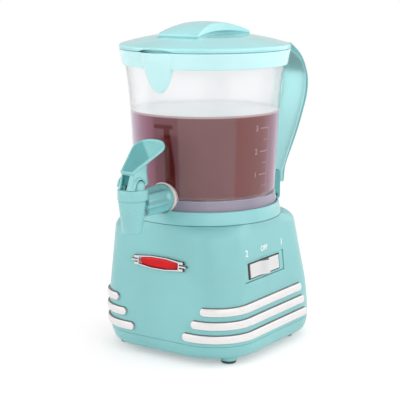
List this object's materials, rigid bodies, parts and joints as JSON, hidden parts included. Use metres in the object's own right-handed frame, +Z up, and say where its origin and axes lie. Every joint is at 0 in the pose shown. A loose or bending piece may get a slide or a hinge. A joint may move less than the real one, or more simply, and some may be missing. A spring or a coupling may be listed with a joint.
{
  "type": "hot chocolate dispenser",
  "caption": "Countertop drink heater and frother: a clear flared jug with pouring collar, lid, strap handle and lever tap, standing on a tapered motor base with a rocker switch",
  "frame": {"origin": "centre of the whole machine's bounding rectangle, on the surface that its feet stand on", "axes": "+Z up; the tap and badge face -Y; the rocker switch is on the +X side"},
  "size_m": [0.1522, 0.2232, 0.2928],
  "materials": {
    "aqua": "satin moulded plastic, pale aqua",
    "pale_aqua": "glossy translucent plastic, very pale aqua",
    "clear": "clear moulded plastic",
    "chrome": "bright plated plastic",
    "strip": "bright silver trim",
    "red": "glossy red enamel look",
    "rocker": "satin off-white plastic",
    "rubber": "matte black rubber",
    "cream": "soft cream silicone",
    "steel": "plain steel",
    "black": "black engineering plastic",
    "brass": "plain turned brass",
    "brown": "dark plastic"
  },
  "bodies": {
    "base": {"base_housing": "aqua", "bottom_tray": "aqua", "foot_pad_1": "rubber", "foot_pad_2": "rubber", "foot_pad_3": "rubber", "foot_pad_4": "rubber", "tray_screw_1": "steel", "tray_screw_2": "steel", "tray_screw_3": "steel", "tray_screw_4": "steel", "trim_strip_right_1": "strip", "trim_strip_left_1": "strip", "trim_strip_right_2": "strip", "trim_strip_left_2": "strip", "trim_strip_right_3": "strip", "trim_strip_left_3": "strip", "badge_bezel": "chrome", "badge_insert": "red", "switch_bezel": "aqua", "switch_body": "black", "motor_can": "steel", "motor_bracket": "steel", "motor_screw_1": "steel", "motor_screw_2": "steel", "seat_collar": "pale_aqua", "base_connector": "black", "cord_gland": "black"},
    "jug": {"jug_shell": "clear", "plate_seal": "cream", "heater_plate": "steel", "heater_element": "steel", "thermostat": "black", "shaft_bush": "brass", "underside_cap": "black", "jug_connector": "black", "pouring_collar": "pale_aqua", "handle_grip": "pale_aqua", "handle_leg": "pale_aqua", "handle_screw": "steel", "tap_gasket": "cream", "tap_nut": "aqua", "tap_inner_nut": "aqua", "tap_body": "aqua", "tap_bonnet": "aqua", "strainer_tube": "brown"},
    "rocker": {"rocker_button": "rocker"},
    "rotor": {"motor_shaft": "steel", "lower_drive_dog": "black"},
    "whisk": {"upper_drive_dog": "black", "whisk_shaft": "steel", "whisk_head": "steel"},
    "lever": {"tap_lever": "aqua"},
    "valve": {"valve_stem": "steel", "valve_seal": "rubber", "valve_spring": "steel"},
    "lid": {"lid": "pale_aqua", "lid_seal": "cream"}
  },
  "joints": [
    {"name": "jug_lift", "type": "slide", "parent": "base", "child": "jug", "axis": [0, 0, 1], "range_m": [0, 0.06]},
    {"name": "lid_lift", "type": "slide", "parent": "jug", "child": "lid", "axis": [0, 0, 1], "range_m": [0, 0.05]},
    {"name": "tap_lever_press", "type": "hinge", "parent": "jug", "child": "lever", "pos_m": [0, -0.10006, 0.1605], "axis": [-1, 0, 0], "range_deg": [0, 16]},
    {"name": "valve_stroke", "type": "slide", "parent": "jug", "child": "valve", "axis": [0, 0, -1], "range_m": [0, 0.00112], "stiffness_N_per_m": 1500, "springref_m": -0.004, "deforming": ["valve_spring"]},
    {"name": "rocker_tilt", "type": "hinge", "parent": "base", "child": "rocker", "pos_m": [0.05908, 0.00234, 0.07964], "axis": [-0.0958, 0, 0.9954], "range_deg": [-8, 8]},
    {"name": "motor_spin", "type": "hinge", "parent": "base", "child": "rotor", "pos_m": [0, 0.00854, 0.1], "axis": [0, 0, 1], "continuous": true},
    {"name": "whisk_spin", "type": "hinge", "parent": "jug", "child": "whisk", "pos_m": [0, 0.00854, 0.15], "axis": [0, 0, 1], "continuous": true}
  ],
  "couplings": [
    {"joint": "tap_lever_press", "follows": "valve_stroke", "rad_per_m": 247.7},
    {"joint": "whisk_spin", "follows": "motor_spin", "ratio": 1}
  ]
}
